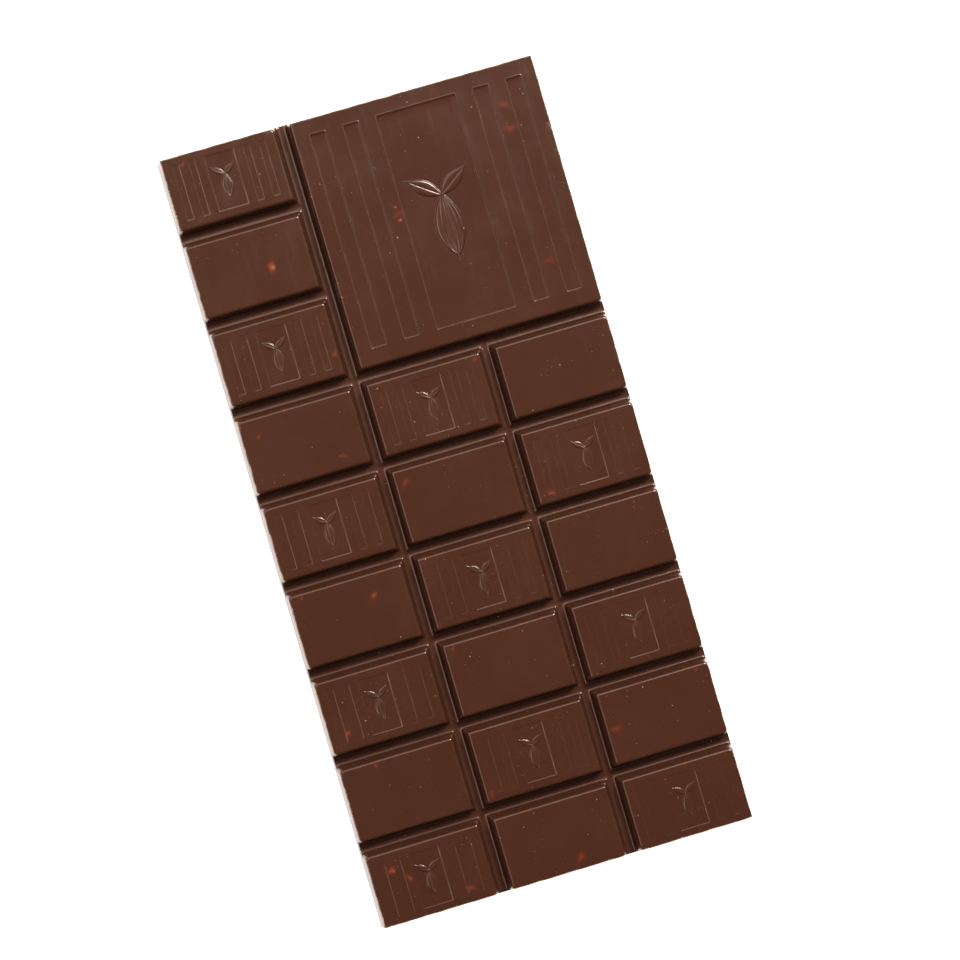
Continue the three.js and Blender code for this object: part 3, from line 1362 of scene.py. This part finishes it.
class Signal:
    """Socket that takes part in Python arithmetic by adding Math nodes."""

    def __init__(self, sheet: Sheet, socket: bpy.types.NodeSocket) -> None:
        """Wrap a socket of a sheet."""
        self.sheet = sheet
        self.socket = socket

    def _math(
        self, operation: str, first: SocketValue, second: SocketValue, clamp: bool = False
    ) -> "Signal":
        """Add a Math node on two values."""
        settings = {"operation": operation, "use_clamp": clamp}
        return self.sheet.signal("ShaderNodeMath", settings, {0: first, 1: second})

    def __add__(self, other: SocketValue) -> "Signal":
        """Sum."""
        return self._math("ADD", self, other)

    def __mul__(self, other: SocketValue) -> "Signal":
        """Product."""
        return self._math("MULTIPLY", self, other)

    __radd__ = __add__
    __rmul__ = __mul__

    def __sub__(self, other: SocketValue) -> "Signal":
        """Difference."""
        return self._math("SUBTRACT", self, other)

    def __rsub__(self, other: SocketValue) -> "Signal":
        """Difference from a number on the left."""
        return self._math("SUBTRACT", other, self)

    def __pow__(self, other: SocketValue) -> "Signal":
        """Power."""
        return self._math("POWER", self, other)

    def above(self, low: float, high: float) -> "Signal":
        """Rise smoothly from 0 at one level to 1 at another."""
        settings = {"interpolation_type": "SMOOTHSTEP"}
        sockets: Sockets = {"Value": self, "From Min": low, "From Max": high}
        return self.sheet.signal("ShaderNodeMapRange", settings, sockets)

    def clamped(self) -> "Signal":
        """Keep between 0 and 1."""
        return self._math("ADD", self, 0.0, clamp=True)


def new_material(name: str) -> tuple[bpy.types.Material, Sheet]:
    """Make an empty material.

    Args:
        name: Name of the material.

    Returns:
        The material and the sheet of its node tree.
    """
    made = bpy.data.materials.new(name)
    made.use_nodes = True
    return made, Sheet(made.node_tree)


@dataclass(frozen=True)
class ChocolateFinish:
    """Semi-gloss dark chocolate as it leaves the mould, duller where it was poured."""

    name: str = "dark_chocolate"
    deep: Colour = (0.0416, 0.0154, 0.0094, 1.0)
    warm: Colour = (0.0468, 0.0172, 0.0106, 1.0)
    # Pale colour of the dust specks; on rims and relief edges the same colour is a painted
    # highlight.
    dust_and_sheen: Colour = (0.13, 0.066, 0.044, 1.0)
    # Pale colour on the outer rims: partly rubbed wear, partly a painted highlight fringe.
    rubbed_and_sheen: Colour = (0.4, 0.26, 0.19, 1.0)
    fruit: Colour = (0.25, 0.042, 0.022, 1.0)
    tip: Colour = (0.42, 0.2, 0.085, 1.0)
    poured: Colour = (0.058, 0.023, 0.013, 1.0)
    gloss_roughness: float = 0.2
    specular: float = 0.5
    cloud_scale: float = 95.0
    patch_scale: float = 140.0
    mottle_scale: float = 420.0
    speck_scale: float = 520.0
    scuff_scale: float = 1500.0
    grain_scale: float = 2600.0
    bump_strength: float = 0.16
    bump_distance: float = 0.00012

    def material(self) -> bpy.types.Material:
        """Build the material from noises on object coordinates and the mesh's attributes.

        Returns:
            Material of the whole bar.
        """
        made, sheet = new_material(self.name)
        place = sheet.signal("ShaderNodeTexCoord", {}, {}, "Object")
        clouds = sheet.noise(place, self.cloud_scale, 3.0, 0.55)
        mottle = sheet.noise(place, self.mottle_scale, 4.0, 0.6)
        grain = sheet.noise(place, self.grain_scale, 3.0, 0.6)
        kinds = (Finish.EDGE, Finish.POURED, Finish.FRUIT, Finish.TIP)
        edge, poured, fruit, tip = (self._attribute(sheet, kind) for kind in kinds)
        specks, scuffs = self._specks(sheet, place), self._scuffs(sheet, place)
        warmth = (0.5 * clouds.above(0.35, 0.68) + 0.5 * grain.above(0.3, 0.7)).clamped()
        colour = sheet.mix(warmth, self.deep, self.warm)
        layers = (
            (poured * 0.8, self.poured),
            (specks * 0.75, self.dust_and_sheen),
            # Pale paint on edges: partly wear, and partly a painted highlight along the rims and
            # the recesses' edges.
            ((edge * mottle.above(0.42, 0.7) * 0.6).clamped(), self.dust_and_sheen),
            ((edge**6.0 * mottle.above(0.44, 0.6) * 0.7).clamped(), self.rubbed_and_sheen),
            ((fruit * (0.55 + 0.7 * mottle)).clamped(), self.fruit),
            ((tip * 0.8).clamped(), self.tip),
        )
        for share, top in layers:
            colour = sheet.mix(share, colour, top)
        roughness = self.gloss_roughness + 0.05 * (mottle - 0.5) + 0.02 * clouds.above(0.4, 0.7)
        roughness = roughness + 0.03 * scuffs + 0.08 * edge + 0.2 * poured + 0.25 * specks
        sheet.surface(
            {
                "Base Color": colour,
                "Roughness": roughness.clamped(),
                "Specular IOR Level": self.specular,
                "IOR": 1.5,
                "Normal": self._bump(sheet, grain, mottle, scuffs, poured),
            }
        )
        return made

    def _attribute(self, sheet: Sheet, kind: Finish) -> Signal:
        """Value of one of the mesh's attributes."""
        settings = {"attribute_name": kind.value, "attribute_type": "GEOMETRY"}
        return sheet.signal("ShaderNodeAttribute", settings, {}, "Fac")

    def _specks(self, sheet: Sheet, place: Signal) -> Signal:
        """Scattered pale pinprick specks, in loose patches.

        Args:
            sheet: Sheet of the material.
            place: Object coordinates.

        Returns:
            1 on a speck and 0 beside it.
        """
        sockets = {"Vector": place, "Scale": self.speck_scale}
        cells = sheet.signal("ShaderNodeTexVoronoi", {}, sockets, "Distance")
        patches = sheet.noise(place, self.patch_scale, 2.0)
        return (1 - cells.above(0.03, 0.07)) * patches.above(0.46, 0.56)

    def _scuffs(self, sheet: Sheet, place: Signal) -> Signal:
        """Fine streaks along the bar from the mould and from handling.

        Args:
            sheet: Sheet of the material.
            place: Object coordinates.

        Returns:
            1 on a streak and 0 beside it.
        """
        sockets = {"Vector": place, "Scale": (1.0, 0.09, 0.4), "Rotation": (0.0, 0.0, 0.06)}
        stretched = sheet.signal("ShaderNodeMapping", {}, sockets)
        return sheet.noise(stretched, self.scuff_scale, 2.0).above(0.52, 0.72)

    def _bump(
        self, sheet: Sheet, grain: Signal, mottle: Signal, scuffs: Signal, poured: Signal
    ) -> Signal:
        """Fine relief of the surface.

        Args:
            sheet: Sheet of the material.
            grain: Finest noise.
            mottle: Middle noise, stronger on the poured back.
            scuffs: Streaks.
            poured: 1 on the poured back.

        Returns:
            Normal of the uneven surface.
        """
        height = 0.35 * grain + 1.0 * mottle + 0.08 * scuffs + 1.2 * poured * mottle
        sizes = {"Strength": self.bump_strength, "Distance": self.bump_distance}
        return sheet.signal("ShaderNodeBump", {}, {"Height": height, **sizes}, "Normal")


@dataclass(frozen=True)
class CrumbFinish:
    """Matt broken chocolate of the crumbs."""

    name: str = "crumb_chocolate"
    dark: Colour = (0.1, 0.05, 0.033, 1.0)
    pale: Colour = (0.4, 0.26, 0.2, 1.0)
    grain_scale: float = 700.0

    def material(self) -> bpy.types.Material:
        """Build the crumbs' material.

        Returns:
            Material of all crumbs.
        """
        made, sheet = new_material(self.name)
        place = sheet.signal("ShaderNodeTexCoord", {}, {}, "Object")
        tone = sheet.noise(place, self.grain_scale, 3.0).above(0.4, 0.62)
        colour = sheet.mix(tone, self.dark, self.pale)
        sheet.surface({"Base Color": colour, "Roughness": 0.6 + 0.15 * tone})
        return made


@dataclass
class GeometryRule:
    """Geometry Nodes tree with named inputs that turns one object into a plain mesh."""

    name: str
    numbers: dict[str, float]
    material: bpy.types.Material
    sheet: Sheet = field(init=False)
    group: bpy.types.Node = field(init=False)

    def __post_init__(self) -> None:
        """Make the tree and its named inputs."""
        tree = bpy.data.node_groups.new(self.name, "GeometryNodeTree")
        sockets = tree.interface
        sockets.new_socket("Geometry", in_out="OUTPUT", socket_type="NodeSocketGeometry")
        sockets.new_socket("Geometry", in_out="INPUT", socket_type="NodeSocketGeometry")
        for label, value in self.numbers.items():
            kind = "NodeSocketInt" if isinstance(value, int) else "NodeSocketFloat"
            sockets.new_socket(label, in_out="INPUT", socket_type=kind)
        sockets.new_socket("Finish", in_out="INPUT", socket_type="NodeSocketMaterial")
        self.sheet = Sheet(tree)
        self.group = tree.nodes.new("NodeGroupInput")

    def input(self, label: str) -> Signal:
        """Value of a named input inside the tree."""
        return Signal(self.sheet, self.group.outputs[label])

    def place(self) -> Signal:
        """Place of each point."""
        return self.sheet.signal("GeometryNodeInputPosition", {}, {})

    def close(self, geometry: Signal) -> None:
        """End the tree in Realize Instances and Set Material.

        Args:
            geometry: What the tree has made so far.
        """
        real = self.sheet.signal("GeometryNodeRealizeInstances", {}, {"Geometry": geometry})
        sockets = {"Geometry": real, "Material": self.input("Finish")}
        dressed = self.sheet.signal("GeometryNodeSetMaterial", {}, sockets)
        self.sheet.node("NodeGroupOutput", {}, {0: dressed})

    def apply(self, carrier: bpy.types.Object, name: str) -> bpy.types.Object:
        """Run the tree on an object and keep the result as a plain mesh.

        Args:
            carrier: Object that the tree works on.
            name: Name of the finished piece.

        Returns:
            The finished piece, at the origin.
        """
        modifier = carrier.modifiers.new(self.name, "NODES")
        modifier.node_group = self.sheet.tree
        values = {**self.numbers, "Finish": self.material}
        for item in self.sheet.tree.interface.items_tree:
            if item.item_type == "SOCKET" and item.in_out == "INPUT" and item.name in values:
                modifier[item.identifier] = values[item.name]
        graph = bpy.context.evaluated_depsgraph_get()
        mesh = bpy.data.meshes.new_from_object(carrier.evaluated_get(graph), depsgraph=graph)
        carrier.modifiers.remove(modifier)
        mesh.name = name
        return placed(name, mesh)


@dataclass
class UnevenSurface:
    """Slight waviness of moulded chocolate, as a rule on every point of the bar."""

    wave_height: float = 0.04
    wave_scale: float = 60.0
    ripple_height: float = 0.012
    ripple_scale: float = 330.0

    def apply(self, body: bpy.types.Object, material: bpy.types.Material) -> bpy.types.Object:
        """Give the bar its waviness and its finish.

        Args:
            body: Smooth bar.
            material: Finish of the bar.

        Returns:
            The finished bar.
        """
        numbers = {
            "Wave height": self.wave_height * MM,
            "Wave scale": self.wave_scale,
            "Ripple height": self.ripple_height * MM,
            "Ripple scale": self.ripple_scale,
        }
        rule = GeometryRule("uneven_surface", numbers, material)
        waves, ripples = self._noise_vector(rule, "Wave"), self._noise_vector(rule, "Ripple")
        total = rule.sheet.vector("ADD", {0: waves, 1: ripples})
        sockets = {"Geometry": rule.input("Geometry"), "Offset": total}
        rule.close(rule.sheet.signal("GeometryNodeSetPosition", {}, sockets))
        return rule.apply(body, "chocolate_bar_surface")

    def _noise_vector(self, rule: GeometryRule, kind: str) -> Signal:
        """Noise vector of one kind of unevenness.

        Args:
            rule: Rule whose tree is filled.
            kind: First word of its scale's and its height's names.

        Returns:
            Offset of each point.
        """
        sheet = rule.sheet
        noise = sheet.noise(rule.place(), rule.input(kind + " scale"), 2.0, output="Color")
        centred = sheet.vector("SUBTRACT", {0: noise, 1: (0.5, 0.5, 0.5)})
        return sheet.vector("SCALE", {0: centred, "Scale": rule.input(kind + " height")})


@dataclass
class Crumbs:
    """Tiny crumbs that lie on the faces and cling to the rims."""

    density: float = 40000.0
    rim_density: float = 7000000.0
    smallest: float = 0.06
    largest: float = 0.17
    group_scale: float = 130.0
    flattest: float = 0.86
    full_turn: float = 6.28

    def build(self, bar: bpy.types.Object, material: bpy.types.Material) -> bpy.types.Object:
        """Scatter the crumbs over the moulded side of the bar.

        Args:
            bar: Finished bar.
            material: Finish of the crumbs.

        Returns:
            All crumbs as one piece.
        """
        numbers = {
            "Density": self.density,
            "Rim density": self.rim_density,
            "Smallest": self.smallest * MM,
            "Largest": self.largest * MM,
            "Group scale": self.group_scale,
            "Seed": SEED,
        }
        rule = GeometryRule("crumbs", numbers, material)
        sheet = rule.sheet
        kind, name = {"data_type": "FLOAT"}, {"Name": Finish.EDGE.value}
        # Edge paint attribute (wear and painted highlight on the rims); crumbs gather where it is
        # strongest.
        sheen_and_wear_edges = sheet.signal("GeometryNodeInputNamedAttribute", kind, name) ** 7.0
        density = sheen_and_wear_edges * rule.input("Rim density") + self._clusters(rule) * rule.input("Density")
        sockets = {
            "Mesh": rule.input("Geometry"),
            "Density": density,
            "Seed": rule.input("Seed"),
            "Selection": self._upward(rule),
        }
        method = {"distribute_method": "RANDOM"}
        points = sheet.signal("GeometryNodeDistributePointsOnFaces", method, sockets)
        turns = {"Min": (0.0,) * 3, "Max": (self.full_turn,) * 3, "Seed": rule.input("Seed")}
        shape = {"Radius": 1.0, "Subdivisions": 1}
        sockets = {
            "Points": points,
            "Instance": sheet.signal("GeometryNodeMeshIcoSphere", {}, shape),
            "Rotation": sheet.signal(
                "FunctionNodeRandomValue", {"data_type": "FLOAT_VECTOR"}, turns
            ),
            "Scale": self._size(rule),
        }
        rule.close(sheet.signal("GeometryNodeInstanceOnPoints", {}, sockets))
        piece = rule.apply(bar, "crumbs")
        piece.data.shade_flat()
        return piece

    def _clusters(self, rule: GeometryRule) -> Signal:
        """Share of the crumbs that each place gets, so that they lie in loose groups."""
        noise = rule.sheet.noise(rule.place(), rule.input("Group scale"), 2.0)
        return 0.35 + 2.2 * noise.above(0.5, 0.66)

    def _upward(self, rule: GeometryRule) -> Signal:
        """Select the faces that look up.

        Args:
            rule: Rule whose tree is filled.

        Returns:
            Whether each face looks up.
        """
        normal = rule.sheet.signal("GeometryNodeInputNormal", {}, {})
        rise = rule.sheet.signal("ShaderNodeSeparateXYZ", {}, {0: normal}, 2)
        test = {"data_type": "FLOAT", "operation": "GREATER_THAN"}
        return rule.sheet.signal("FunctionNodeCompare", test, {0: rise, 1: self.flattest})

    def _size(self, rule: GeometryRule) -> Signal:
        """Draw a random size for each crumb, with few large ones.

        Args:
            rule: Rule whose tree is filled.

        Returns:
            Size of each crumb.
        """
        sockets = {2: 0.0, 3: 1.0, "Seed": rule.input("Seed")}
        kind = {"data_type": "FLOAT"}
        small = rule.sheet.signal("FunctionNodeRandomValue", kind, sockets, 1) ** 3.0
        low = rule.input("Smallest")
        return low + small * (rule.input("Largest") - low)


@dataclass(frozen=True)
class SoftLight:
    """Oblong soft light that looks at the bar, with its place and size in millimetres."""

    name: str
    place: Place
    size: Span
    power: float
    tint: Tint

    def hang(self) -> None:
        """Hang the light in its place and turn it to the bar."""
        light = bpy.data.lights.new(self.name, "AREA")
        light.color = self.tint
        light.shape = "RECTANGLE"
        light.size, light.size_y = (length * MM for length in self.size)
        light.energy = self.power
        lamp = placed(self.name, light)
        lamp.location = [v * MM for v in self.place]
        direction = -np.array(self.place) / np.linalg.norm(self.place)
        pitch = math.acos(max(-1.0, min(1.0, -direction[2])))
        lamp.rotation_euler = Euler((pitch, 0.0, math.atan2(-direction[0], direction[1])))


@dataclass
class Studio:
    """Pale floor, soft light and the camera at the photograph's viewing angle."""

    camera_place: Place = (-45.0, 20.0, 700.0)
    camera_turn: Place = (-0.352, -4.386, -16.334)
    focal_pixels: float = 3500.2
    image_pixels: int = 960
    sensor: float = 36.0
    near_clip: float = 0.01
    key_tint: Tint = (1.0, 0.87, 0.73)
    side_tint: Tint = (1.0, 0.76, 0.58)
    top_tint: Tint = (1.0, 0.81, 0.65)
    room_light: float = 0.05
    room_tint: Colour = (1.0, 0.78, 0.56, 1.0)
    band_tint: Colour = (1.0, 1.0, 1.0, 1.0)
    pale_band: float = 0.07
    floor_half: float = 40.0
    floor_drop: float = 0.00005
    floor_glow: float = 1.15
    floor_colour: Colour = (0.86, 0.86, 0.86, 1.0)

    def build(self) -> None:
        """Make the floor, the lights and the camera."""
        self._floor()
        self._world()
        for light in self._lights():
            light.hang()
        bpy.context.scene.view_settings.view_transform = "Standard"
        self._camera()

    def _lights(self) -> list[SoftLight]:
        """List the lights: a compact warm one, a broad one above and one at each side.

        Returns:
            Lights in the order in which they are hung.
        """
        right, top = (475.0, 520.0, 1000.0), (-180.0, 672.0, 1000.0)
        sides = (-430.0, 50.0, 1000.0), (430.0, 50.0, 1000.0)
        return [
            SoftLight("key_light", right, (300.0, 300.0), 23.3, self.key_tint),
            SoftLight("top_light", top, (900.0, 900.0), 6.9, self.top_tint),
            SoftLight("left_light", sides[0], (700.0, 300.0), 3.2, self.side_tint),
            SoftLight("right_light", sides[1], (700.0, 160.0), 0.15, self.side_tint),
        ]

    def _floor(self) -> None:
        """Lay a wide pale floor just under the bar."""
        mesh = bpy.data.meshes.new("floor")
        half, low = self.floor_half, -self.floor_drop
        corners = [(-half, -half, low), (half, -half, low), (half, half, low), (-half, half, low)]
        mesh.from_pydata(corners, [], [(0, 1, 2, 3)])
        floor = placed("floor", mesh)
        made, sheet = new_material("pale_floor")
        sheet.surface(
            {
                "Base Color": self.floor_colour,
                "Roughness": 0.7,
                "Emission Color": self.floor_colour,
                "Emission Strength": self.floor_glow,
            }
        )
        mesh.materials.append(made)

    def _world(self) -> None:
        """Fill the room with dim even light above a pale band where the floor ends."""
        world = bpy.data.worlds.new("studio")
        world.use_nodes = True
        sheet = Sheet(world.node_tree)
        place = sheet.signal("ShaderNodeTexCoord", {}, {}, "Generated")
        rise = sheet.signal("ShaderNodeSeparateXYZ", {}, {0: place}, 2).above(0.0, self.pale_band)
        colour = sheet.mix(rise, self.band_tint, self.room_tint)
        strength = 1.0 - (1.0 - self.room_light) * rise
        looks = {"Color": colour, "Strength": strength}
        shade = sheet.signal("ShaderNodeBackground", {}, looks)
        sheet.node("ShaderNodeOutputWorld", {}, {"Surface": shade})
        bpy.context.scene.world = world

    def _camera(self) -> None:
        """Place the camera."""
        data = bpy.data.cameras.new("camera")
        data.sensor_width = self.sensor
        data.lens = self.focal_pixels * self.sensor / self.image_pixels
        data.clip_start = self.near_clip
        camera = placed("camera", data)
        camera.location = [v * MM for v in self.camera_place]
        camera.rotation_euler = Euler([math.radians(v) for v in self.camera_turn])
        bpy.context.scene.camera = camera


def main() -> None:
    """Build the bar, its crumbs and the studio, and report each piece."""
    logging.basicConfig(level=logging.INFO, format="%(message)s")
    Studio().build()
    chocolate = ChocolateFinish().material()
    body = BarBody().build()
    bar = UnevenSurface().apply(body, chocolate)
    crumbs = Crumbs().build(bar, CrumbFinish().material())
    bpy.data.objects.remove(body)
    for piece in (bar, crumbs):
        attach(piece, "root")
        LOG.info("%s: %d faces", piece.name, len(piece.data.polygons))
    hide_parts("chocolate_bar")


if __name__ == "__main__":
    main()
